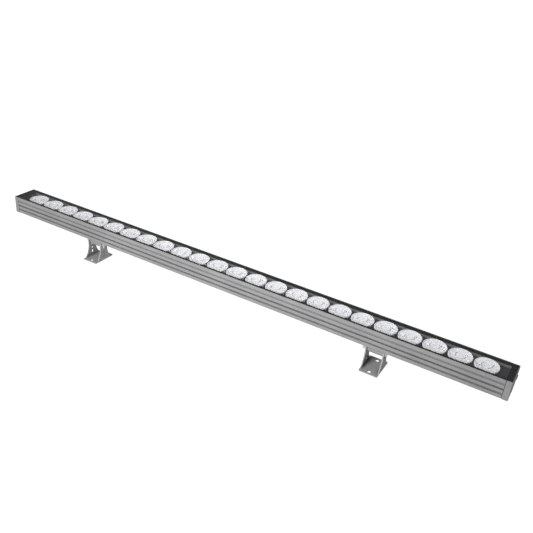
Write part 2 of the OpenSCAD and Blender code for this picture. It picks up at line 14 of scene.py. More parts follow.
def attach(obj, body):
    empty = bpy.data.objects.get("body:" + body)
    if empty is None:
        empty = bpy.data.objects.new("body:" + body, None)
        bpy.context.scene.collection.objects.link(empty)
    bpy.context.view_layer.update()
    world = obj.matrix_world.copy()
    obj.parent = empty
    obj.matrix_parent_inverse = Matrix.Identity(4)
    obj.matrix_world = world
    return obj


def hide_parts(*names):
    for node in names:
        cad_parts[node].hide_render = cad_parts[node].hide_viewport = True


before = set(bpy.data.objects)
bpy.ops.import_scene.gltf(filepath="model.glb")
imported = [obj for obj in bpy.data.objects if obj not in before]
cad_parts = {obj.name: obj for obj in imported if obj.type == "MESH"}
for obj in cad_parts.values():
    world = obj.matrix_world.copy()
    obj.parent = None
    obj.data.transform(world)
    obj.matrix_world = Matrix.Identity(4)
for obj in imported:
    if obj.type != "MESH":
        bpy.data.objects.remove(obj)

LOG = logging.getLogger("wall_washer")
MM = 0.001
PAST = 1.0  # How far, in millimetres, a cutting tool reaches past the face that it cuts
WHITE = (1.0, 1.0, 1.0, 1.0)

Rgb = tuple[float, float, float]
Point = tuple[float, float]
Place = tuple[float, float, float]
Socket = bpy.types.NodeSocket
SocketValue = Union[float, Sequence[float], Socket]
EdgeTest = Callable[[bmesh.types.BMEdge], bool]


class Body(Enum):
    """The bodies of the frame that pieces ride on."""

    BAR = "light_bar"
    LEFT_CARRIAGE = "left_carriage"
    LEFT_FOOT = "left_foot"
    RIGHT_CARRIAGE = "right_carriage"
    RIGHT_FOOT = "right_foot"


class Axis(Enum):
    """Directions along the bar, as the turn about Y that takes +Z there."""

    RIGHT = math.pi / 2
    LEFT = -math.pi / 2


class Grain(Enum):
    """How a surface's fine marks run."""

    EVEN = "even"
    DRAWN = "drawn"
    PILLOWED = "pillowed"


# Shader graphs


def rgba(colour: Rgb) -> tuple[float, ...]:
    """Returns a colour with full opacity."""
    return (*colour, 1.0)


class Graph:
    """Adds and links shader nodes in one node tree."""

    def __init__(self, tree: bpy.types.NodeTree) -> None:
        """Keeps the tree that nodes go into."""
        self.tree = tree

    @classmethod
    def emptied(cls, owner: Union[bpy.types.Material, bpy.types.World]) -> "Graph":
        """Takes a material's or world's first nodes out.

        Args:
            owner: The material or world.

        Returns:
            Its empty graph.
        """
        owner.use_nodes = True
        owner.node_tree.nodes.clear()
        return cls(owner.node_tree)

    def node(self, kind: str, inputs: Optional[dict] = None, **settings: object) -> bpy.types.Node:
        """Adds a node.

        Args:
            kind: The node's type, without its ShaderNode prefix.
            inputs: Values or sockets for its inputs, by name or number.
            settings: Properties of the node.

        Returns:
            The node.
        """
        made = self.tree.nodes.new("ShaderNode" + kind)
        for key, value in settings.items():
            setattr(made, key, value)
        for key, value in (inputs or {}).items():
            self.feed(made.inputs[key], value)
        return made

    def feed(self, socket: Socket, value: SocketValue) -> None:
        """Links or sets one input.

        Args:
            socket: The input.
            value: A socket to link from, or a plain value.
        """
        if isinstance(value, bpy.types.NodeSocket):
            self.tree.links.new(value, socket)
        else:
            socket.default_value = value

    def place(self) -> Socket:
        """Returns the object coordinates."""
        return self.node("TexCoord").outputs["Object"]

    def ray(self, kind: str) -> Socket:
        """Returns whether a ray is of one kind."""
        return self.node("LightPath").outputs[f"Is {kind} Ray"]

    def maths(self, operation: str, a: SocketValue, b: SocketValue = 0.0, clamp: bool = False) -> Socket:
        """Returns the result of a Math node, kept within 0 and 1 if clamp is set."""
        return self.node("Math", {0: a, 1: b}, operation=operation, use_clamp=clamp).outputs[0]

    def dot(self, a: SocketValue, b: SocketValue) -> Socket:
        """Returns how far two directions agree, 1 where they are the same."""
        return self.node("VectorMath", {0: a, 1: b}, operation="DOT_PRODUCT").outputs["Value"]

    def spread(self, value: Socket, low: float, high: float, to_low: float = 0.0, to_high: float = 1.0,
               ease: str = "LINEAR") -> Socket:
        """Returns a value mapped from between low and high to between to_low and to_high."""
        inputs = {0: value, 1: low, 2: high, 3: to_low, 4: to_high}
        return self.node("MapRange", inputs, interpolation_type=ease).outputs[0]

    def blend(self, share: Socket, a: SocketValue, b: SocketValue) -> Socket:
        """Returns two colours mixed, by the share of the second."""
        return self.node("Mix", {0: share, 6: a, 7: b}, data_type="RGBA").outputs[2]

    def noise(self, place: Socket, scale: SocketValue, detail: float, roughness: float = 0.5) -> Socket:
        """Returns a cloudy pattern at a place, by its scale and the steps of detail in it."""
        return self.node("TexNoise", {"Vector": place, "Scale": scale, "Detail": detail,
                                      "Roughness": roughness}).outputs[0]

    def weigh(self, a: Socket, a_share: float, b: Socket, b_share: float) -> Socket:
        """Returns the sum of two values, each times its share."""
        return self.maths("ADD", self.maths("MULTIPLY", a, a_share), self.maths("MULTIPLY", b, b_share))

    def choose(self, share: Socket, usual: Socket, other: Socket) -> Socket:
        """Returns two shaders mixed, by the share of the second."""
        return self.node("MixShader", {0: share, 1: usual, 2: other}).outputs[0]


class Effect:
    """A node group that finishes share."""

    def __init__(self, name: str, inputs: dict[str, str], outputs: dict[str, str]) -> None:
        """Makes the group and its sockets.

        Args:
            name: The group's name.
            inputs: Socket type of each input, by name.
            outputs: Socket type of each output, by name.
        """
        self.tree = bpy.data.node_groups.new(name, "ShaderNodeTree")
        for way, sockets in (("INPUT", inputs), ("OUTPUT", outputs)):
            for label, kind in sockets.items():
                self.tree.interface.new_socket(name=label, in_out=way, socket_type="NodeSocket" + kind)
        self.graph = Graph(self.tree)
        self.source = self.tree.nodes.new("NodeGroupInput").outputs
        self.result = self.tree.nodes.new("NodeGroupOutput").inputs

    def give(self, **values: Socket) -> "Effect":
        """Links the group's outputs.

        Args:
            values: The socket that each output puts out, by name.

        Returns:
            The effect.
        """
        for label, value in values.items():
            self.graph.feed(self.result[label], value)
        return self

    def use(self, graph: Graph, inputs: dict) -> bpy.types.bpy_prop_collection:
        """Places the effect in a material.

        Args:
            graph: The material's graph.
            inputs: Values or sockets for the effect's inputs, by name.

        Returns:
            The group node's outputs.
        """
        made = graph.tree.nodes.new("ShaderNodeGroup")
        made.node_tree = self.tree
        for key, value in inputs.items():
            graph.feed(made.inputs[key], value)
        return made.outputs


def cloud_effect() -> Effect:
    """Makes an effect that mixes two colours in soft clouds of two sizes.

    Returns:
        The effect.
    """
    finer, broad_share, fine_share = 7.3, 0.65, 0.35
    all_first, all_second = 0.36, 0.64
    effect = Effect("Soft clouds", {"Vector": "Vector", "Scale": "Float", "First": "Color",
                                    "Second": "Color"}, {"Color": "Color", "Mask": "Float"})
    g, source = effect.graph, effect.source
    broad = g.noise(source["Vector"], source["Scale"], detail=3.0)
    fine = g.noise(source["Vector"], g.maths("MULTIPLY", source["Scale"], finer), detail=4.0)
    mask = g.spread(g.weigh(broad, broad_share, fine, fine_share), all_first, all_second)
    return effect.give(Color=g.blend(mask, source["First"], source["Second"]), Mask=mask)


def marks_effect(name: str, height: Callable[[Graph, Socket, Socket], Socket]) -> Effect:
    """Makes an effect of fine marks, put out as a value and as a normal.

    Args:
        name: The effect's name.
        height: Builds the marks' height from a graph, a place and a scale.

    Returns:
        The effect.
    """
    effect = Effect(name, {"Vector": "Vector", "Scale": "Float", "Strength": "Float", "Depth": "Float"},
                    {"Value": "Float", "Normal": "Vector"})
    g, source = effect.graph, effect.source
    value = height(g, source["Vector"], source["Scale"])
    bump = g.node("Bump", {"Strength": source["Strength"], "Distance": source["Depth"], "Height": value})
    return effect.give(Value=value, Normal=bump.outputs[0])


def pitting(g: Graph, place: Socket, scale: Socket) -> Socket:
    """Returns the height of the fine, even pitting of a coat or a moulding."""
    return g.noise(place, scale, detail=3.0, roughness=0.6)


def streaks(g: Graph, place: Socket, scale: Socket) -> Socket:
    """Builds the long fine lines that drawing through a die leaves along X.

    Args:
        g: The group's graph.
        place: Where on the piece the marks are read.
        scale: How fine they are.

    Returns:
        Their height.
    """
    stretched, speck_finer, line_share, speck_share = 0.012, 1.7, 0.7, 0.3
    drawn = g.node("Mapping", {"Vector": place, "Scale": (stretched, 1.0, 1.0)}).outputs[0]
    lines = g.noise(drawn, scale, detail=4.0, roughness=0.7)
    specks = g.noise(place, g.maths("MULTIPLY", scale, speck_finer), detail=2.0)
    return g.weigh(lines, line_share, specks, speck_share)


def pillows(g: Graph, place: Socket, scale: Socket) -> Socket:
    """Builds the small soft pillows and ripples of a light-spreading face.

    Args:
        g: The group's graph.
        place: Where on the piece the marks are read.
        scale: How fine they are.

    Returns:
        Their height.
    """
    ripple_broader, pillow_share, ripple_share = 0.45, 0.6, 0.8
    cells = g.node("TexVoronoi", {"Vector": place, "Scale": scale, "Smoothness": 0.6}, feature="SMOOTH_F1")
    ripples = g.noise(place, g.maths("MULTIPLY", scale, ripple_broader), detail=2.0)
    return g.weigh(cells.outputs["Distance"], pillow_share, ripples, ripple_share)


def wear_effect() -> Effect:
    """Makes an effect that masks the outer edges, broken up as rubbing leaves them.

    Returns:
        The effect.
    """
    unworn_turn, worn_turn = 0.995, 0.86
    whole, broken = 0.42, 0.62
    effect = Effect("Rubbed edges", {"Vector": "Vector", "Radius": "Float", "Amount": "Float",
                                     "Breakup": "Float"}, {"Mask": "Float"})
    g, source = effect.graph, effect.source
    rounded = g.node("Bevel", {"Radius": source["Radius"]}, samples=4).outputs[0]
    edge = g.spread(g.dot(rounded, g.node("NewGeometry").outputs["Normal"]), unworn_turn, worn_turn)
    patch = g.spread(g.noise(source["Vector"], source["Breakup"], detail=4.0), whole, broken)
    worn = g.maths("MULTIPLY", edge, patch)
    return effect.give(Mask=g.maths("MULTIPLY", worn, source["Amount"], clamp=True))


def recess_shade_effect() -> Effect:
    """Makes an effect that masks grooves and inner corners, where painted shade darkens the colour.

    Returns:
        The effect.
    """
    closed_in, open_sky = 0.81, 0.995
    effect = Effect("Painted recess shade", {"Distance": "Float", "Amount": "Float"}, {"Mask": "Float"})
    g, source = effect.graph, effect.source
    # Painted shade: the occlusion reading marks where light is blocked, so the colour can be darkened there.
    seen = g.node("AmbientOcclusion", {"Distance": source["Distance"]}, samples=6, only_local=True)
    mask = g.spread(seen.outputs["AO"], closed_in, open_sky, 1.0, 0.0)
    return effect.give(Mask=g.maths("MULTIPLY", mask, source["Amount"], clamp=True))


class Effects:
    """The shared effects, each made once."""

    def __init__(self) -> None:
        """Makes every effect."""
        self.clouds = cloud_effect()
        self.marks = {Grain.EVEN: marks_effect("Even grain", pitting),
                      Grain.DRAWN: marks_effect("Drawn streaks", streaks),
                      Grain.PILLOWED: marks_effect("Pillowed face", pillows)}
        self.wear = wear_effect()
        # Painted shade for grooves and inner corners.
        self.recess_shade = recess_shade_effect()


EFFECTS = Effects()


# Finishes


@dataclass(frozen=True)
class Surface:
    """What a piece is finished in."""

    name: str

    def material(self) -> bpy.types.Material:
        """Makes the finish a material the first time it is asked for.

        Returns:
            The material.
        """
        made = bpy.data.materials.get(self.name)
        if made is None:
            made = bpy.data.materials.new(self.name)
            g = Graph.emptied(made)
            g.node("OutputMaterial", {"Surface": self.shader(g)})
        return made

    def shader(self, g: Graph) -> Socket:
        """Builds the shader in the material's graph. Returns its socket."""
        raise NotImplementedError


@dataclass(frozen=True)
class Finish(Surface):
    """An opaque finish: two close colours in clouds, fine marks, rubbed edges and painted shade in grooves and
    inner corners.
    """

    colour: Rgb
    shade: Rgb
    cloud_scale: float = 18.0
    metallic: float = 0.0
    specular: float = 0.5
    roughness: float = 0.5
    roughness_swing: float = 0.08
    grain: Grain = Grain.EVEN
    grain_scale: float = 1500.0
    grain_strength: float = 0.25
    grain_depth: float = 0.00008
    speckle: float = 0.07
    wear_colour: Optional[Rgb] = None
    wear_amount: float = 0.5
    wear_radius: float = 0.0006
    wear_breakup: float = 220.0
    wear_polish: float = 0.12
    # Painted shade: how strongly grooves and inner corners are darkened towards a near-black colour, how far
    # the occlusion reading reaches, and how much rougher they get.
    painted_shade: float = 0.0
    painted_shade_reach: float = 0.002
    painted_shade_colour: Rgb = (0.035, 0.035, 0.036)
    painted_shade_dulls: float = 0.3

    def shader(self, g: Graph) -> Socket:
        """Lays the marks, the wear and the painted shade in recesses over the clouded colour.

        Args:
            g: The material's graph.

        Returns:
            The shader's socket.
        """
        place = g.place()
        clouds = EFFECTS.clouds.use(g, {"Vector": place, "Scale": self.cloud_scale,
                                        "First": rgba(self.colour), "Second": rgba(self.shade)})
        marks = EFFECTS.marks[self.grain].use(g, {"Vector": place, "Scale": self.grain_scale,
                                                  "Strength": self.grain_strength, "Depth": self.grain_depth})
        speckle = g.spread(marks["Value"], 0.3, 0.7, 1.0 - self.speckle, 1.0 + self.speckle)
        colour = g.node("VectorMath", {0: clouds["Color"], 1: speckle}, operation="MULTIPLY").outputs[0]
        rough = g.spread(clouds["Mask"], 0.0, 1.0, self.roughness - self.roughness_swing,
                         self.roughness + self.roughness_swing)
        rough = g.maths("MULTIPLY", rough, speckle)
        if self.wear_colour is not None:
            worn = EFFECTS.wear.use(g, {"Vector": place, "Radius": self.wear_radius,
                                        "Amount": self.wear_amount, "Breakup": self.wear_breakup})["Mask"]
            colour = g.blend(worn, colour, rgba(self.wear_colour))
            rough = g.maths("SUBTRACT", rough, g.maths("MULTIPLY", worn, self.wear_polish))
        # Painted shade: grooves and inner corners are darkened and roughened where the occlusion reading finds
        # them closed in.
        if self.painted_shade > 0:
            shade_mask = EFFECTS.recess_shade.use(g, {"Distance": self.painted_shade_reach, "Amount": self.painted_shade})["Mask"]
            colour = g.blend(shade_mask, colour, rgba(self.painted_shade_colour))
            rough = g.maths("ADD", rough, g.maths("MULTIPLY", shade_mask, self.painted_shade_dulls), clamp=True)
        return g.node("BsdfPrincipled", {
            "Base Color": colour, "Roughness": rough, "Metallic": self.metallic,
            "Specular IOR Level": self.specular, "Normal": marks["Normal"]}).outputs[0]


@dataclass(frozen=True)
class ClearSheet(Surface):
    """Clear toughened glass that lets light through to what lies behind it."""

    tint: Rgb = (0.99, 0.99, 0.992)
    smear: Rgb = (0.975, 0.978, 0.98)
    smear_scale: float = 9.0
    lit_through: Rgb = (0.96, 0.963, 0.966)
    least_rough: float = 0.0075
    most_rough: float = 0.0375
    ior: float = 1.5

    def shader(self, g: Graph) -> Socket:
        """Builds smeared glass that shadow and diffuse rays pass straight through.

        Args:
            g: The material's graph.

        Returns:
            The shader's socket.
        """
        clouds = EFFECTS.clouds.use(g, {"Vector": g.place(), "Scale": self.smear_scale,
                                        "First": rgba(self.tint), "Second": rgba(self.smear)})
        rough = g.spread(clouds["Mask"], 0.0, 1.0, self.least_rough, self.most_rough)
        sheet = g.node("BsdfPrincipled", {"Base Color": clouds["Color"], "Roughness": rough, "Metallic": 0.0,
                                          "IOR": self.ior, "Transmission Weight": 1.0})
        through = g.node("BsdfTransparent", {"Color": rgba(self.lit_through)})
        light = g.maths("MAXIMUM", g.ray("Shadow"), g.ray("Diffuse"))
        return g.choose(light, sheet.outputs[0], through.outputs[0])


@dataclass(frozen=True)
class FrostedOptic(Surface):
    """Clear moulded acrylic with a frosted, slightly milky body, a finely pillowed face and painted shade in
    its grooves.
    """

    colour: Rgb = (0.985, 0.985, 1.0)
    shade: Rgb = (0.84, 0.84, 0.87)
    cloud_scale: float = 150.0
    pillow_scale: float = 300.0
    pillow_strength: float = 0.3
    pillow_depth: float = 0.0009
    shadow: Rgb = (0.20, 0.20, 0.195)
    shadow_amount: float = 0.85
    shadow_reach: float = 0.001
    lit_through: Rgb = (0.85, 0.85, 0.87)
    transmission: float = 0.06
    least_rough: float = 0.096
    most_rough: float = 0.24
    ior: float = 1.49
    gloss: float = 0.35
    gloss_rough: float = 0.08

    def shader(self, g: Graph) -> Socket:
        """Builds milky acrylic that shadow rays pass straight through.

        Args:
            g: The material's graph.

        Returns:
            The shader's socket.
        """
        place = g.place()
        clouds = EFFECTS.clouds.use(g, {"Vector": place, "Scale": self.cloud_scale,
                                        "First": rgba(self.colour), "Second": rgba(self.shade)})
        marks = EFFECTS.marks[Grain.PILLOWED].use(
            g, {"Vector": place, "Scale": self.pillow_scale, "Strength": self.pillow_strength,
                "Depth": self.pillow_depth})
        # Painted shade: the pin grooves and the rim's inner corners darken towards the shadow colour.
        sunk = EFFECTS.recess_shade.use(g, {"Distance": self.shadow_reach, "Amount": self.shadow_amount})["Mask"]
        body = g.node("BsdfPrincipled", {
            "Base Color": g.blend(sunk, clouds["Color"], rgba(self.shadow)),
            "Roughness": g.spread(marks["Value"], 0.0, 1.0, self.least_rough, self.most_rough),
            "Metallic": 0.0, "IOR": self.ior, "Transmission Weight": self.transmission,
            "Normal": marks["Normal"], "Coat Weight": self.gloss, "Coat Roughness": self.gloss_rough})
        through = g.node("BsdfTransparent", {"Color": rgba(self.lit_through)})
        return g.choose(g.ray("Shadow"), body.outputs[0], through.outputs[0])


@dataclass(frozen=True)
class Paper:
    """How one kind of ray finds the studio's paper."""

    grey: float
    roughness: float
    specular: float
    glow: float


@dataclass(frozen=True)
class PaleFloor(Surface):
    """Studio paper that the camera sees plain and pale, and that throws a softer light on the object."""

    seen: Paper = Paper(grey=0.25, roughness=0.95, specular=0.1, glow=0.93)
    around: Paper = Paper(grey=0.3, roughness=1.0, specular=0.0, glow=0.4)

    def shader(self, g: Graph) -> Socket:
        """Builds the paper for the camera's rays and for all others.

        Args:
            g: The material's graph.

        Returns:
            The shader's socket.
        """
        seen, around = (g.node("BsdfPrincipled", {
            "Base Color": rgba((paper.grey,) * 3), "Roughness": paper.roughness,
            "Specular IOR Level": paper.specular, "Emission Color": WHITE,
            "Emission Strength": paper.glow}).outputs[0] for paper in (self.seen, self.around))
        return g.choose(g.ray("Camera"), around, seen)


class Finishes:
    """Every finish on the light, by the name of what it is on."""

    # The housing's recess settings paint shade into its grooves and inner corners.
    housing = Finish("anodised_grey", (0.215, 0.216, 0.218), (0.187, 0.188, 0.190), metallic=0.25,
                     roughness=0.52, grain=Grain.DRAWN, grain_scale=900.0, grain_strength=0.22,
                     grain_depth=0.0001, wear_colour=(0.36, 0.36, 0.362), wear_amount=0.3, painted_shade=0.9,
                     painted_shade_reach=0.0045)
    # The end cap's recess settings paint shade into its pocket and inner corners.
    end_cap = Finish("cast_grey_coat", (0.195, 0.197, 0.198), (0.168, 0.170, 0.171), metallic=0.2,
                     roughness=0.52, grain_scale=1100.0, grain_strength=0.4, wear_colour=(0.45, 0.45, 0.46),
                     wear_amount=0.4, painted_shade=0.6)
    gasket = Finish("silicone_sheet", (0.022, 0.022, 0.023), (0.034, 0.034, 0.035), roughness=0.75,
                    grain_scale=2200.0)
    steel = Finish("stainless", (0.60, 0.60, 0.59), (0.52, 0.52, 0.51), metallic=0.75, roughness=0.34,
                   grain_scale=2600.0, grain_strength=0.15, wear_colour=(0.7, 0.7, 0.69))
    screw = Finish("stained_screw", (0.27, 0.235, 0.20), (0.19, 0.16, 0.135), metallic=0.6, roughness=0.42,
                   cloud_scale=300.0, grain_scale=2600.0, grain_strength=0.15, wear_colour=(0.42, 0.38, 0.33),
                   wear_amount=0.4)
    zinc = Finish("zinc_plate", (0.56, 0.57, 0.58), (0.46, 0.47, 0.47), metallic=1.0, roughness=0.42,
                  cloud_scale=160.0, grain_scale=2400.0)
    nylon = Finish("black_nylon", (0.02, 0.021, 0.022), (0.032, 0.033, 0.034), roughness=0.48,
                   grain_scale=1800.0, grain_strength=0.3, wear_colour=(0.09, 0.09, 0.09), wear_amount=0.35)
    rubber = Finish("black_rubber", (0.016, 0.016, 0.017), (0.028, 0.028, 0.028), roughness=0.8,
                    grain_scale=1600.0)
    enamel = Finish("black_enamel", (0.0025, 0.0025, 0.003), (0.005, 0.005, 0.0055), roughness=0.35,
                    cloud_scale=40.0, grain_scale=2600.0, grain_strength=0.1, specular=0.12)
    sealant = Finish("black_sealant", (0.015, 0.015, 0.016), (0.024, 0.024, 0.025), roughness=0.6,
                     grain_scale=900.0)
    plate = Finish("dark_satin_plate", (0.060, 0.062, 0.067), (0.046, 0.048, 0.052), metallic=0.2,
                   roughness=0.45, grain_scale=1300.0, wear_colour=(0.16, 0.16, 0.17), wear_amount=0.3)
    board = Finish("white_solder_mask", (0.78, 0.79, 0.77), (0.70, 0.72, 0.70), roughness=0.38,
                   cloud_scale=60.0, grain_scale=1900.0, grain_strength=0.15)
    phosphor = Finish("yellow_phosphor", (0.82, 0.58, 0.12), (0.72, 0.50, 0.10), roughness=0.45,
                      cloud_scale=400.0, grain_scale=3000.0)
    chip = Finish("chip_black", (0.022, 0.022, 0.023), (0.03, 0.03, 0.031), roughness=0.55, cloud_scale=200.0,
                  grain_scale=3000.0)
    ivory = Finish("ivory_nylon", (0.72, 0.69, 0.60), (0.66, 0.63, 0.55), roughness=0.45, cloud_scale=150.0)
    terminal = Finish("green_nylon", (0.045, 0.20, 0.085), (0.035, 0.16, 0.07), roughness=0.42,
                      cloud_scale=150.0)
    saddle = Finish("saddle_anodised", (0.24, 0.241, 0.243), (0.20, 0.201, 0.203), metallic=0.3,
                    roughness=0.45, grain=Grain.DRAWN, grain_scale=900.0, wear_colour=(0.56, 0.56, 0.57))
    # The foot's recess settings paint shade into its folds and inner corners.
    foot = Finish("coated_sheet", (0.27, 0.27, 0.268), (0.225, 0.225, 0.222), metallic=0.15, cloud_scale=45.0,
                  grain_scale=1300.0, grain_strength=0.4, wear_colour=(0.42, 0.42, 0.42), wear_amount=0.7,
                  wear_radius=0.0008, painted_shade=0.45, painted_shade_reach=0.006)
    glass = ClearSheet("toughened_glass")
    optic = FrostedOptic("acrylic_optic")
    floor = PaleFloor("floor_paper")


# Shapes


class Form:
    """A mesh in the making, in millimetres in the frame of the whole light."""

    def __init__(self, bm: Optional[bmesh.types.BMesh] = None) -> None:
        """Starts with nothing, or with a mesh in the making."""
        self.bm = bm or bmesh.new()

    @classmethod
    def turned(cls, profile: Sequence[Point], steps: int = 48) -> "Form":
        """Spins a closed profile about Z.

        Args:
            profile: Radius and height of each corner, in order.
            steps: Faces round the turn.

        Returns:
            The turned form.
        """
        form = cls()
        bm = form.bm
        points = [bm.verts.new((r, 0.0, z)) for r, z in profile]
        edges = [bm.edges.new(pair) for pair in zip(points, points[1:])]
        if profile[0][0] > 0 or profile[-1][0] > 0:
            edges.append(bm.edges.new((points[-1], points[0])))
        bmesh.ops.spin(bm, geom=points + edges, cent=(0, 0, 0), axis=(0, 0, 1), dvec=(0, 0, 0),
                       angle=2 * math.pi, steps=steps, use_merge=True, use_duplicate=False)
        return form.closed()

    @classmethod
    def block(cls, low: Sequence[float], high: Sequence[float]) -> "Form":
        """Makes a block to be shaped further.

        Args:
            low: Its lowest corner.
            high: Its highest corner.

        Returns:
            The block.
        """
        form = cls()
        bmesh.ops.create_cube(form.bm, size=1.0)
        bmesh.ops.scale(form.bm, vec=Vector(high) - Vector(low), verts=form.bm.verts)
        return form.move(*((Vector(high) + Vector(low)) / 2))

    @classmethod
    def rod(cls, radius: float, length: float, sides: int = 48) -> "Form":
        """Makes a round or many-sided rod on Z, from 0 upwards.

        Args:
            radius: Its radius.
            length: Its length.
            sides: Faces round it.

        Returns:
            The rod.
        """
        form = cls()
        bmesh.ops.create_cone(form.bm, cap_ends=True, segments=sides, radius1=radius, radius2=radius,
                              depth=length)
        return form.move(z=length / 2)

    @classmethod
    def copied(cls, node: str) -> "Form":
        """Copies a node of the frame, with its loose triangles joined and flat faces made whole.

        Args:
            node: The node's name.

        Returns:
            The copy.
        """
        form = cls()
        form.bm.from_mesh(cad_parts[node].data)
        bmesh.ops.scale(form.bm, vec=(1 / MM, 1 / MM, 1 / MM), verts=form.bm.verts)
        bmesh.ops.remove_doubles(form.bm, verts=form.bm.verts, dist=0.003)
        return form.flattened(0.4).closed()

    def closed(self) -> "Form":
        """Merges doubles and turns every face outwards.

        Returns:
            The form.
        """
        bmesh.ops.remove_doubles(self.bm, verts=self.bm.verts, dist=0.0005)
        bmesh.ops.recalc_face_normals(self.bm, faces=self.bm.faces)
        return self

    def flattened(self, angle: float) -> "Form":
        """Joins faces that lie within an angle, in degrees, of one plane. Returns the form."""
        bmesh.ops.dissolve_limit(self.bm, angle_limit=math.radians(angle), verts=self.bm.verts,
                                 edges=self.bm.edges, delimit=set())
        return self

    def soften(self, width: float, steps: int = 2, least: float = 28.0,
               where: Optional[EdgeTest] = None) -> "Form":
        """Rounds edges.

        Args:
            width: How far the rounding reaches from each edge.
            steps: Faces across the rounding.
            least: Smallest angle between faces, in degrees, that counts as an edge.
            where: Picks which of those edges are rounded.

        Returns:
            The form.
        """
        edges = [e for e in self.bm.edges if e.is_manifold and e.calc_face_angle(0.0) > math.radians(least)
                 and (where is None or where(e))]
        bmesh.ops.bevel(self.bm, geom=edges, offset=width, offset_type="OFFSET", segments=steps, profile=0.5,
                        affect="EDGES", clamp_overlap=True, material=-1)
        return self

    def swing(self, angle: float, axis: str = "Z") -> "Form":
        """Turns the form about an axis through the origin. Returns it."""
        bmesh.ops.rotate(self.bm, cent=(0, 0, 0), matrix=Matrix.Rotation(angle, 3, axis), verts=self.bm.verts)
        return self

    def turn(self, direction: Axis) -> "Form":
        """Points +Z another way. Returns the form."""
        return self.swing(direction.value, "Y")

    def move(self, x: float = 0.0, y: float = 0.0, z: float = 0.0) -> "Form":
        """Moves the form. Returns it."""
        bmesh.ops.translate(self.bm, vec=(x, y, z), verts=self.bm.verts)
        return self

    def flip_x(self) -> "Form":
        """Mirrors the form to the other end of the bar.

        Returns:
            The form.
        """
        bmesh.ops.scale(self.bm, vec=(-1, 1, 1), verts=self.bm.verts)
        bmesh.ops.reverse_faces(self.bm, faces=self.bm.faces)
        return self

    def mesh(self, name: str) -> bpy.types.Mesh:
        """Makes the form a mesh in millimetres, and frees its working copy.

        Args:
            name: The mesh's name.

        Returns:
            The mesh.
        """
        made = bpy.data.meshes.new(name)
        self.bm.to_mesh(made)
        self.bm.free()
        return made

    def add(self, *others: "Form") -> "Form":
        """Puts other forms into this one as they are.

        Args:
            others: The forms, used up here.

        Returns:
            The form.
        """
        for other in others:
            part = other.mesh("part")
            self.bm.from_mesh(part)
            bpy.data.meshes.remove(part)
        return self

    def cut(self, *others: "Form") -> "Form":
        """Takes other forms out of this one. Returns the form."""
        return self._combine(others, "DIFFERENCE")

    def fuse(self, *others: "Form") -> "Form":
        """Joins other forms with this one into one solid. Returns the form."""
        return self._combine(others, "UNION")

    def _combine(self, others: Sequence["Form"], how: str) -> "Form":
        """Runs Boolean modifiers on the form.

        Args:
            others: The forms to take out or join.
            how: The operation's name.

        Returns:
            The form.
        """
        base, *tools = [bpy.data.objects.new("form", form.mesh("form")) for form in (self, *others)]
        bpy.context.scene.collection.objects.link(base)
        for tool in tools:
            bpy.context.scene.collection.objects.link(tool)
            step = base.modifiers.new("combined", "BOOLEAN")
            step.operation = how
            step.solver = "EXACT"
            step.object = tool
        bpy.context.view_layer.update()
        done = bpy.data.meshes.new_from_object(base.evaluated_get(bpy.context.evaluated_depsgraph_get()))
        self.bm = bmesh.new()
        self.bm.from_mesh(done)
        for spare in (base, *tools):
            mesh = spare.data
            bpy.data.objects.remove(spare)
            bpy.data.meshes.remove(mesh)
        bpy.data.meshes.remove(done)
        return self.flattened(0.3)

    def piece(self, name: str, finish: Surface, body: Body, slot: str, node: str,
              sharp: float = 32.0) -> bpy.types.Object:
        """Makes the form an object of the scene.

        Args:
            name: The object's name.
            finish: What it is finished in.
            body: The body it rides on.
            slot: The name of a material slot; not used.
            node: The node that it stands for.
            sharp: Angle in degrees above which an edge looks sharp.

        Returns:
            The object.
        """
        bmesh.ops.scale(self.bm, vec=(MM, MM, MM), verts=self.bm.verts)
        made = bpy.data.objects.new(name, self.mesh(name))
        bpy.context.scene.collection.objects.link(made)
        made.data.shade_smooth()
        made.data.set_sharp_from_angle(angle=math.radians(sharp))
        made.modifiers.new("even shading", "WEIGHTED_NORMAL").keep_sharp = True
        made.data.materials.append(finish.material())
        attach(made, body.value)
        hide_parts(node)
        LOG.info("%s: %d faces in %s", name, len(made.data.polygons), finish.name)
        return made


def raised(profile: Sequence[Point], height: float) -> list[Point]:
    """Returns a profile moved up by a height."""
    return [(r, z + height) for r, z in profile]


def dress(node: str, finish: Surface) -> None:
    """Gives a node of the frame its finish.

    Args:
        node: The node's name.
        finish: What it is finished in.
    """
    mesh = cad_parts[node].data
    mesh.materials.clear()
    mesh.materials.append(finish.material())
    LOG.info("%s keeps its shape, in %s", node, finish.name)


# Light bar


@dataclass
class Bar:
    """Sizes that the pieces of the light bar share, in millimetres."""

    bottom: float = 49.5
    half_w: float = 25.0
    height: float = 34.0
    half_l: float = 500.0
    cap_start: float = 490.8
    housing_half: float = 490.0
    port_y: float = 18.0
    port_z: float = 17.0
    rebate_z: float = 29.1
    rebate_half: float = 24.0
    glass_end: float = 498.8
    gland_x: float = -468.0
    gland_y: float = 15.2


@dataclass(frozen=True)
class Groove:
    """A lengthwise groove of the housing: its height, its depth and the rounding of its floor."""

    z: float
    depth: float
    floor_round: float


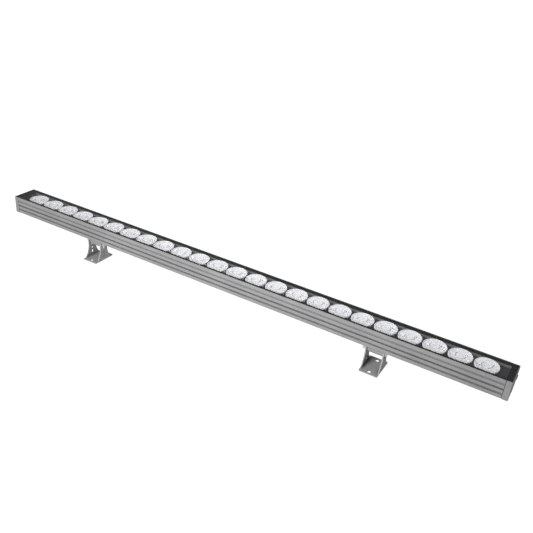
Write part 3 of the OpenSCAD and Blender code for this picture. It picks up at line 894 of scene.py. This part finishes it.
@dataclass
class Housing:
    """The drawn housing with its slot, chambers, grooves and screw ports."""

    bar: Bar
    slot_half: float = 4.0
    slot_room_half: float = 6.6
    slot_lip: float = 2.2
    slot_top: float = 6.4
    bevel: float = 1.6
    bevel_round: float = 0.5
    grooves: tuple[Groove, ...] = (Groove(8.5, 1.105, 0.55), Groove(17.0, 1.3, 0.55), Groove(25.5, 0.78, 0.4))
    mouth_half: float = 1.6
    mouth_round: float = 0.55
    floor_half: float = 0.64
    wall_inside: float = 22.0
    deck: float = 11.0
    ledge_half: float = 20.5
    ledge_under: float = 27.6
    port_wall: float = 3.2
    port_round: float = 3.1
    port_bore_r: float = 2.05
    chamber: tuple[float, float, float, float] = (8.4, 2.2, 22.0, 8.4)
    gland_hole_r: float = 5.05
    gland_hole_depth: float = 5.0

    def half_outline(self) -> list[Place]:
        """Lays out the right half of the section.

        Returns:
            Distance across, height, and rounding of each corner, in order.
        """
        bar, side, wall = self.bar, self.bar.half_w, self.wall_inside
        low, high = bar.port_z - self.port_wall, bar.port_z + self.port_wall
        port = bar.port_y - self.port_wall
        foot = [
            (0, self.slot_top, 0), (self.slot_room_half, self.slot_top, 0.3),
            (self.slot_room_half, self.slot_lip, 0.3), (self.slot_half, self.slot_lip, 0.2),
            (self.slot_half, 0, 0.35), (side - self.bevel, 0, self.bevel_round),
            (side, self.bevel, self.bevel_round),
        ]
        grooved = [
            (across, groove.z + rise, rounding) for groove in self.grooves for across, rise, rounding in (
                (side, -self.mouth_half, self.mouth_round),
                (side - groove.depth, -self.floor_half, groove.floor_round),
                (side - groove.depth, self.floor_half, groove.floor_round),
                (side, self.mouth_half, self.mouth_round))
        ]
        inside = [
            (side, bar.height, 0.3), (bar.rebate_half, bar.height, 0.2), (bar.rebate_half, bar.rebate_z, 0.1),
            (self.ledge_half, bar.rebate_z, 0.15), (self.ledge_half, self.ledge_under, 0.15),
            (wall, self.ledge_under, 0.15), (wall, high, 0.3), (port, high, self.port_round),
            (port, low, self.port_round), (wall, low, 0.3), (wall, self.deck, 0.4), (0, self.deck, 0),
        ]
        return foot + grooved + inside

    def section(self) -> Form:
        """Rounds, mirrors and fills the section at one end of the housing.

        Returns:
            The section, standing across the bar.
        """
        form = Form()
        bm = form.bm
        x = -self.bar.housing_half
        corners = [(bm.verts.new((x, y, z)), radius) for y, z, radius in self.half_outline()]
        points = [v for v, _ in corners]
        for pair in zip(points, points[1:]):
            bm.edges.new(pair)
        for radius in sorted({r for _, r in corners if r > 0}):
            chosen = [v for v, r in corners if r == radius and v.is_valid]
            bmesh.ops.bevel(bm, geom=chosen, offset=radius, offset_type="OFFSET", segments=5, profile=0.5,
                            affect="VERTICES", clamp_overlap=True, material=-1)
        inner, low, outer, high = self.chamber
        room = [bm.verts.new((x, y, z))
                for y, z in ((inner, low), (outer, low), (outer, high), (inner, high))]
        for a, b in zip(room, room[1:] + room[:1]):
            bm.edges.new((a, b))
        bore = bmesh.ops.create_circle(bm, cap_ends=False, segments=32, radius=self.port_bore_r)["verts"]
        bmesh.ops.rotate(bm, cent=(0, 0, 0), matrix=Matrix.Rotation(math.pi / 2, 3, "Y"), verts=bore)
        bmesh.ops.translate(bm, vec=(x, self.bar.port_y, self.bar.port_z), verts=bore)
        bmesh.ops.mirror(bm, geom=bm.verts[:] + bm.edges[:], axis="Y", merge_dist=0.001)
        bmesh.ops.remove_doubles(bm, verts=bm.verts, dist=0.0005)
        bmesh.ops.triangle_fill(bm, edges=bm.edges[:], use_beauty=True, use_dissolve=False)
        return form

    def build(self) -> None:
        """Draws the section along the bar, drills it for the gland and sets it in place."""
        bar = self.bar
        form = self.section()
        drawn = bmesh.ops.extrude_face_region(form.bm, geom=form.bm.faces[:])["geom"]
        bmesh.ops.translate(form.bm, vec=(2 * bar.housing_half, 0, 0),
                            verts=[v for v in drawn if isinstance(v, bmesh.types.BMVert)])
        form.closed()
        form.cut(Form.rod(self.gland_hole_r, self.gland_hole_depth).move(bar.gland_x, bar.gland_y, -PAST))
        form.move(z=bar.bottom)
        form.piece("housing_drawn", Finishes.housing, Body.BAR, "housing", "housing", sharp=40.0)


@dataclass
class EndCap:
    """The two cast end caps with their screws; the right one also holds the vent."""

    bar: Bar
    round_r: float = 1.3
    top_round_r: float = 0.6
    edge: float = 0.18
    bore_l: float = 12.0
    seat_l: float = 8.0
    seat_gap: float = 0.2
    screw_bore_r: float = 2.2
    screw_r: float = 1.95
    screw_l: float = 16.0
    screw_head_r: float = 3.8
    screw_head_h: float = 2.4
    screw_edge: float = 0.08
    socket_r: float = 1.62
    socket_depth: float = 1.4
    proud: float = 1.0
    vent_sunk: float = 0.3
    vent_head_r: float = 4.5
    vent_head_h: float = 1.8
    vent_stem_r: float = 3.0
    vent_stem_l: float = 4.9
    vent_dish_r: float = 2.4
    vent_dish: float = 0.35
    vent_bore_r: float = 1.0
    vent_slots: int = 6
    vent_slot_half: float = 0.3
    vent_slot_depth: float = 0.7
    pocket_half_w: float = 13.0
    pocket_low: float = 13.8
    pocket_high: float = 25.5
    pocket_depth: float = 5.0

    def blank(self) -> Form:
        """Makes the outer form of the right-hand cap.

        Returns:
            The rounded blank.
        """
        bar = self.bar
        low = (bar.cap_start, -bar.half_w, bar.bottom)
        high = (bar.half_l, bar.half_w, bar.bottom + bar.height)
        near = 0.001

        def along(edge: bmesh.types.BMEdge, axis: int, value: float) -> bool:
            """Whether both ends of an edge lie at a value of one axis."""
            return all(abs(v.co[axis] - value) < near for v in edge.verts)

        def outer(edge: bmesh.types.BMEdge, height: float) -> bool:
            """Whether an edge lies at one height and away from the bar."""
            return along(edge, 2, height) and not along(edge, 0, bar.cap_start)

        def lower(edge: bmesh.types.BMEdge) -> bool:
            """Whether an edge is an outer one of the underside, or an upright one of the end."""
            upright = abs(edge.verts[0].co.z - edge.verts[1].co.z) > 1
            return outer(edge, low[2]) or (along(edge, 0, bar.half_l) and upright)

        form = Form.block(low, high).soften(self.round_r, 6, where=lower)
        return form.soften(self.top_round_r, 4, least=60.0, where=lambda edge: outer(edge, high[2]))

    def build(self) -> None:
        """Casts both caps, drills them and drives the screws."""
        self.cap(Axis.LEFT)
        self.cap(Axis.RIGHT)
        self.screws()
        self.vent()

    def drills(self, y: float, bore_r: float, seat_r: float, seat_x: float) -> list[Form]:
        """Returns the tools for a stepped hole along X, at one place across the bar."""
        z = self.bar.bottom + self.bar.port_z
        return [Form.rod(bore_r, self.bore_l).turn(Axis.RIGHT).move(self.bar.cap_start - PAST, y, z),
                Form.rod(seat_r, self.seat_l).turn(Axis.RIGHT).move(seat_x, y, z)]

    def cap(self, end: Axis) -> None:
        """Makes one cap.

        Args:
            end: The end of the bar that it closes.
        """
        bar = self.bar
        z, inside = bar.bottom, bar.cap_start - PAST
        tools = [
            Form.block((inside, -bar.rebate_half, z + bar.rebate_z),
                       (bar.glass_end, bar.rebate_half, z + bar.height + PAST)),
            Form.block((inside, -self.pocket_half_w, z + self.pocket_low),
                       (bar.cap_start + self.pocket_depth, self.pocket_half_w, z + self.pocket_high)),
        ]
        for y in (-bar.port_y, bar.port_y):
            tools += self.drills(y, self.screw_bore_r, self.screw_head_r + self.seat_gap,
                                 bar.half_l - self.screw_head_h + self.proud)
        if end is Axis.RIGHT:
            tools += self.drills(0, self.vent_stem_r + self.seat_gap, self.vent_head_r + self.seat_gap,
                                 bar.half_l - self.vent_head_h - self.vent_sunk)
        form = self.blank().cut(*tools).soften(self.edge, 2, least=50.0)
        if end is Axis.LEFT:
            form.flip_x()
        node = f"end_cap_{end.name.lower()}"
        form.piece(f"{node}_cast", Finishes.end_cap, Body.BAR, "end_cap", node)

    def screws(self) -> None:
        """Makes the four socket screws as one piece."""
        bar, r, h, thread = self.bar, self.screw_head_r, self.screw_head_h, self.screw_r
        every = Form()
        for side, direction in ((-1, Axis.LEFT), (1, Axis.RIGHT)):
            for y in (-bar.port_y, bar.port_y):
                screw = Form.turned([(0, -self.screw_l), (thread - 0.45, -self.screw_l),
                                     (thread, 0.5 - self.screw_l), (thread, 0), (r - 0.15, 0), (r, 0.2),
                                     (r, h - 0.4), (r - 0.12, h - 0.12), (r - 0.4, h), (0, h)], 40)
                screw.cut(Form.rod(self.socket_r, self.socket_depth + PAST, 6).move(z=h - self.socket_depth))
                screw.soften(self.screw_edge, 1, least=50.0).turn(direction)
                every.add(screw.move(side * (bar.half_l + self.proud - h), y, bar.bottom + bar.port_z))
        every.piece("end_screws_turned", Finishes.screw, Body.BAR, "end_screw", "end_screws")

    def vent(self) -> None:
        """Makes the vent plug, with its breathing slots round the head."""
        bar, r, h, dish = self.bar, self.vent_head_r, self.vent_head_h, self.vent_head_h - self.vent_dish
        plug = Form.turned([(0, -self.vent_stem_l), (self.vent_stem_r - 0.3, -self.vent_stem_l),
                            (self.vent_stem_r, 0.4 - self.vent_stem_l), (self.vent_stem_r, 0), (r - 0.1, 0),
                            (r, 0.15), (r, h - 0.5), (r - 0.5, h), (self.vent_dish_r + 0.2, h),
                            (self.vent_dish_r, dish), (0, dish)])
        low = (self.vent_dish_r - 0.1, -self.vent_slot_half, h - self.vent_slot_depth)
        high = (r - 0.7, self.vent_slot_half, h + PAST)
        slots = [Form.block(low, high).swing(2 * math.pi * number / self.vent_slots)
                 for number in range(self.vent_slots)]
        plug.cut(Form.rod(self.vent_bore_r, self.bore_l).move(z=-self.bore_l / 2), *slots).turn(Axis.RIGHT)
        plug.move(bar.half_l - self.vent_sunk - h, 0, bar.bottom + bar.port_z)
        plug.piece("vent_plug_moulded", Finishes.nylon, Body.BAR, "vent_plug", "vent_plug")


@dataclass
class GlassFront:
    """The glass, its printed border, its bed and the plate with the optics' openings."""

    bar: Bar
    drop_gap: float = 0.2
    thickness: float = 4.0
    edge: float = 0.3

    def build(self) -> None:
        """Makes the glass, with its sides bonded in black, and finishes what lies under it."""
        bar = self.bar
        end = bar.glass_end - self.drop_gap
        side = bar.rebate_half - self.drop_gap
        top = bar.bottom + bar.height
        sheet = Form.block((-end, -side, top - self.thickness), (end, side, top)).soften(self.edge, 3)
        made = sheet.piece("glass_sheet", Finishes.glass, Body.BAR, "glass", "glass")
        made.data.materials.append(Finishes.sealant.material())
        bottom_face, side_face = -0.95, 0.2
        for face in made.data.polygons:
            if bottom_face < face.normal.z < side_face:
                face.material_index = 1
        dress("glass_border", Finishes.enamel)
        dress("glass_bed", Finishes.sealant)
        dress("lens_plate", Finishes.plate)


@dataclass
class OpticRow:
    """The row of moulded optics, each on its two pegs. Profiles hold a radius and a height at each corner."""

    bar: Bar
    count: int = 24
    pitch: float = 39.75
    foot_z: float = 12.6
    height: float = 16.3
    flange_r: float = 18.75
    flange_t: float = 2.4
    rim_w: float = 1.3
    face_drop: float = 0.55
    ripples: tuple[Point, ...] = (
        (0, 0), (3.5, -0.05), (5.6, -0.12), (6.5, -0.04), (7.0, 0.12), (7.3, 0.12), (7.6, -0.5), (8.2, -0.5),
        (8.6, -0.08), (10.5, -0.12), (13.5, -0.05), (16.2, 0.05))
    hollow: tuple[Point, ...] = (
        (9.5, 4.0), (9.5, 0.25), (9.3, 0.0), (6.1, 0.0), (6.0, 0.2), (4.2, 7.7), (3.8, 8.0), (0, 8.0))
    peg_x: float = 14.0
    peg_r: float = 1.6
    pins: tuple[Point, ...] = ((-11.6, -4.6), (11.2, 5.6))
    pin_groove: tuple[Point, ...] = ((1.7, -1.3), (1.7, 1), (3.3, 1), (2.9, -1.3))
    domes: tuple[Place, ...] = ((13.8, -5.2, 2.6), (-6.0, -13.3, 2.3), (-13.8, 3.0, 1.2))
    dome_share: tuple[Point, ...] = ((0, 0.54), (0.45, 0.46), (0.8, 0.2), (1, -0.1), (1, -0.6), (0, -0.6))

    def profile(self) -> list[Point]:
        """Lays out the optic's turned profile.

        Returns:
            Its corners, from the middle of the face out and back to the hollow.
        """
        h, r, under = self.height, self.flange_r, self.height - self.flange_t
        face, rim = h - self.face_drop, r - self.rim_w
        edge = [(rim - 0.3, face + 0.1), (rim, h - 0.14), (rim + 0.2, h), (r - 0.35, h), (r - 0.08, h - 0.12),
                (r, h - 0.4), (r, under + 0.3), (r - 0.2, under), (17.5, under)]
        return [*raised(self.ripples, face), *edge, *self.hollow]

    def optic(self) -> Form:
        """Moulds one optic with its marks and pegs.

        Returns:
            The optic, standing at the middle of the frame.
        """
        face, top, r = self.height - self.face_drop, self.height - self.flange_t, self.peg_r
        form = Form.turned(self.profile(), 56)
        form.fuse(*[Form.turned([(radius * share, face + z) for share, z in self.dome_share], 20).move(x, y)
                    for x, y, radius in self.domes])
        form.cut(*[Form.turned(raised(self.pin_groove, face), 24).move(x, y) for x, y in self.pins])
        for x in (-self.peg_x, self.peg_x):
            form.add(Form.turned([(0, 0), (r - 0.3, 0), (r, 0.35), (r, top), (0, top)], 16).move(x))
        return form

    def build(self) -> None:
        """Moulds one optic and sets a copy on the board in every place."""
        first = self.optic()
        for number in range(self.count):
            x = (number - (self.count - 1) / 2) * self.pitch
            form = Form(first.bm.copy()).move(x, 0, self.bar.bottom + self.foot_z)
            form.piece(f"optic_{number + 1:02d}", Finishes.optic, Body.BAR, "optic", f"lens_{number + 1:02d}",
                       sharp=38.0)
        first.bm.free()


@dataclass
class Electronics:
    """The boards and what is soldered or plugged on them."""

    edge: float = 0.25

    def build(self) -> None:
        """Softens the moulded parts and finishes the boards."""
        for node in ("board_left", "board_right"):
            dress(node, Finishes.board)
        dress("leds", Finishes.phosphor)
        dress("board_screws", Finishes.zinc)
        for node, finish in (("regulators", Finishes.chip), ("board_bridge", Finishes.ivory),
                             ("terminal_block", Finishes.terminal)):
            Form.copied(node).soften(self.edge).piece(f"{node}_moulded", finish, Body.BAR, node, node)


@dataclass
class CableGland:
    """The cable gland under the left end, with a ribbed clamping cap; heights count from the bar's bottom."""

    bar: Bar
    flat: float = 6.5
    flat_edge: float = 0.35
    flange_t: float = 3.5
    bore_r: float = 3.4
    seam: float = 0.01
    neck_r: float = 5.0
    neck_low: float = -10.4
    thread_root_r: float = 4.75
    thread_top: float = 6.0
    ridges: int = 6
    cap_r: float = 6.6
    cap_bore_r: float = 5.05
    cap_gap: float = 0.2
    cap_low: float = -12.9
    cap_floor: float = 2.0
    rib_r: float = 0.55
    rib_count: int = 20
    nut_edge: float = 0.3

    def build(self) -> None:
        """Moulds the gland's pieces and hangs them under the bar."""
        under = -self.flange_t
        body = Form.rod(self.flat / math.cos(math.pi / 6), self.flange_t, 6).move(z=under)
        bore = Form.rod(self.bore_r, self.flange_t + 2 * PAST).move(z=under - PAST)
        body.soften(self.flat_edge, 3).cut(bore)
        neck = Form.turned([(self.bore_r, self.neck_low), (self.neck_r - 0.3, self.neck_low),
                            (self.neck_r, self.neck_low + 0.3), (self.neck_r, under - self.seam),
                            (self.bore_r, under - self.seam)])
        self.hang(body.add(neck, self.thread()), "gland_body")
        self.hang(self.clamp(), "gland_cap")
        dress("gland_insert", Finishes.rubber)
        nut = Form.copied("gland_nut").soften(self.nut_edge, 2, least=40.0)
        nut.piece("gland_nut_moulded", Finishes.nylon, Body.BAR, "gland", "gland_nut")

    def hang(self, form: Form, node: str) -> None:
        """Sets a piece of the gland in its place under the bar."""
        form.move(self.bar.gland_x, self.bar.gland_y, self.bar.bottom)
        form.piece(f"{node}_moulded", Finishes.nylon, Body.BAR, "gland", node)

    def clamp(self) -> Form:
        """Turns the clamping cap and adds its ribs.

        Returns:
            The cap.
        """
        r, bore, wide, low = self.cap_r, self.bore_r, self.cap_bore_r, self.cap_low
        high, floor = -self.flange_t - self.cap_gap, self.cap_low + self.cap_floor
        cap = Form.turned([(bore, low + 0.3), (bore + 0.3, low), (r - 1.5, low), (r - 0.4, low + 1.2),
                           (r - 0.35, high - 0.4), (r - 0.6, high), (wide, high), (wide, floor),
                           (bore, floor)], 60)
        for number in range(self.rib_count):
            rib = Form.rod(self.rib_r, high - low - 2.4, 8).move(r - self.rib_r, 0, low + 1.6)
            cap.add(rib.swing(2 * math.pi * number / self.rib_count))
        return cap

    def thread(self) -> Form:
        """Turns the stem inside the bar, with a ridged outside.

        Returns:
            The stem.
        """
        low, high, root, crest = self.seam, self.thread_top, self.thread_root_r, self.neck_r
        step = (high - low) / self.ridges
        outside: list[Point] = []
        for number in range(self.ridges):
            outside += raised([(root, 0), (crest, step * 0.35), (crest, step * 0.6)], low + number * step)
        return Form.turned([(self.bore_r, low), *outside, (root, high), (self.bore_r, high)], 40)


# Mounting


@dataclass
class Mount:
    """One foot with its pivot and the carriage that slides in the bar's slot."""

    side: str
    x: float
    carriage: Body
    foot: Body
    pivot_z: float = 34.0
    half_w: float = 16.0
    fold_r: float = 1.6
    foot_edge: float = 0.22
    bolt_tip: tuple[Point, ...] = ((0, -6.6), (2.6, -6.6), (3.0, -6.2))
    bolt_head: tuple[Point, ...] = ((3.0, 0), (5.1, 0), (5.25, 0.15), (5.2, 1.2), (4.7, 2.2), (3.9, 2.9),
                                    (2.9, 3.25), (2.2, 3.3), (0, 3.3))
    socket_r: float = 1.5
    socket_l: float = 4.0
    socket_floor: float = 1.9

    def build(self) -> None:
        """Makes the carriage, the foot and the pivot's hardware."""
        self.eased("saddle", "milled", Finishes.saddle, self.carriage, "saddle", 0.4, 3)
        self.eased("slot_nuts", "pressed", Finishes.zinc, self.carriage, "steel_nut", 0.3)
        self.eased("saddle_screws", "turned", Finishes.steel, self.carriage, "steel_hardware", 0.3, 3,
                   where=lambda edge: edge.calc_length() < 3)
        self.folded_foot()
        self.bolt()
        self.eased("pivot_nut", "pressed", Finishes.steel, self.foot, "steel_hardware", 0.35, least=40.0)
        self.eased("pivot_washer", "pressed", Finishes.steel, self.foot, "steel_hardware", 0.2, least=40.0)

    def eased(self, kind: str, made: str, finish: Surface, body: Body, slot: str, width: float,
              steps: int = 2, least: float = 50.0, where: Optional[EdgeTest] = None) -> None:
        """Softens the edges of one of the mount's nodes; made says how, in the piece's name."""
        node = f"{kind}_{self.side}"
        Form.copied(node).soften(width, steps, least, where).piece(f"{node}_{made}", finish, body, slot, node)

    def folded_foot(self) -> None:
        """Rounds the folds of the foot and breaks its other edges."""
        node = f"foot_{self.side}"
        near = 0.01

        def fold(edge: bmesh.types.BMEdge) -> bool:
            """Whether an edge is the outer corner of a fold."""
            return all(abs(abs(v.co.x - self.x) - self.half_w) < near and abs(v.co.z) < near
                       for v in edge.verts)

        form = Form.copied(node).soften(self.fold_r, 5, where=fold).soften(self.foot_edge, least=50.0)
        form.piece(f"{node}_folded", Finishes.foot, self.foot, "foot", node)

    def bolt(self) -> None:
        """Turns the pivot bolt, whose tip and head stand beyond the two sides of the foot."""
        half = self.half_w
        bolt = Form.turned(raised(self.bolt_tip, -half) + raised(self.bolt_head, half))
        bolt.cut(Form.rod(self.socket_r, self.socket_l, 6).move(z=half + self.socket_floor))
        bolt.turn(Axis.RIGHT).move(self.x, 0, self.pivot_z)
        node = f"pivot_bolt_{self.side}"
        bolt.piece(f"{node}_turned", Finishes.steel, self.foot, "steel_hardware", node)


# Studio


@dataclass
class Studio:
    """The camera, the pale floor and the soft light."""

    lens: float = 44.75
    sensor: float = 36.0
    nearest: float = 0.01
    farthest: float = 200.0
    eye: Place = (0.5331, -0.8612, 0.6492)
    look: Place = (-0.4098, 0.7741, -0.4825)
    up: Place = (-0.3072, 0.3815, 0.8718)
    floor_half: float = 30.0
    floor_z: float = -0.0005
    sky_from: Place = (-0.25, -0.75, 0.60)
    sky_edge: Point = (0.2, 0.95)
    sky_low: float = 0.16
    sky_high: float = 0.75
    sky_seen: float = 0.93
    key_power: float = 18.5
    key_place: Place = (-0.05, -0.85, 0.55)
    key_aim: Place = (0.0, 0.0, 0.06)
    key_size: Point = (0.6, 0.4)

    def build(self) -> None:
        """Sets up everything that isn't part of the light."""
        self.camera()
        self.floor()
        self.world()
        self.key()

    def camera(self) -> None:
        """Stands the camera where the photograph was taken from."""
        data = bpy.data.cameras.new("camera")
        data.sensor_width = self.sensor
        data.lens = self.lens
        data.clip_start = self.nearest
        data.clip_end = self.farthest
        ahead = Vector(self.look).normalized()
        right = ahead.cross(Vector(self.up)).normalized()
        turn = Matrix((right, right.cross(ahead), -ahead)).transposed()
        made = bpy.data.objects.new("camera", data)
        made.matrix_world = Matrix.Translation(Vector(self.eye)) @ turn.to_4x4()
        bpy.context.scene.collection.objects.link(made)
        bpy.context.scene.camera = made

    def floor(self) -> None:
        """Lays a pale floor under the light."""
        form = Form()
        bmesh.ops.create_grid(form.bm, x_segments=2, y_segments=2, size=self.floor_half)
        made = bpy.data.objects.new("floor", form.mesh("floor"))
        bpy.context.scene.collection.objects.link(made)
        made.data.materials.append(Finishes.floor.material())
        made.location.z = self.floor_z

    def world(self) -> None:
        """Surrounds the light with a soft sky, bright in front and dark behind; the camera sees it plain."""
        world = bpy.data.worlds.new("studio")
        bpy.context.scene.world = world
        g = Graph.emptied(world)
        toward = g.dot(g.node("TexCoord").outputs["Generated"], Vector(self.sky_from).normalized())
        bright = g.spread(toward, *self.sky_edge, self.sky_low, self.sky_high, ease="SMOOTHSTEP")
        lit, seen = (g.node("Background", {"Color": WHITE, "Strength": strength}).outputs[0]
                     for strength in (bright, self.sky_seen))
        g.node("OutputWorld", {"Surface": g.choose(g.ray("Camera"), lit, seen)})

    def key(self) -> None:
        """Adds one broad, low light in front of the middle of the bar."""
        data = bpy.data.lights.new("key", "AREA")
        data.shape = "RECTANGLE"
        data.size, data.size_y = self.key_size
        data.energy = self.key_power
        made = bpy.data.objects.new("key", data)
        made.location = self.key_place
        made.visible_glossy = False
        made.visible_transmission = False
        aim = Vector(self.key_aim) - Vector(self.key_place)
        made.rotation_euler = aim.to_track_quat("-Z", "Y").to_euler()
        bpy.context.scene.collection.objects.link(made)
        bpy.context.scene.view_settings.view_transform = "Standard"


def main() -> None:
    """Builds the studio and the light's sub-assemblies in order, then finishes the gaskets."""
    logging.basicConfig(level=logging.INFO, format="%(message)s")
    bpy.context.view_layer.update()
    bar = Bar()
    Studio().build()
    assemblies = [Housing(bar), EndCap(bar), GlassFront(bar), OpticRow(bar), Electronics(), CableGland(bar),
                  Mount("left", -303.0, Body.LEFT_CARRIAGE, Body.LEFT_FOOT),
                  Mount("right", 290.0, Body.RIGHT_CARRIAGE, Body.RIGHT_FOOT)]
    for assembly in assemblies:
        assembly.build()
        LOG.info("%s is done", type(assembly).__name__)
    for node in ("gasket_left", "gasket_right"):
        dress(node, Finishes.gasket)


if __name__ == "__main__":
    main()
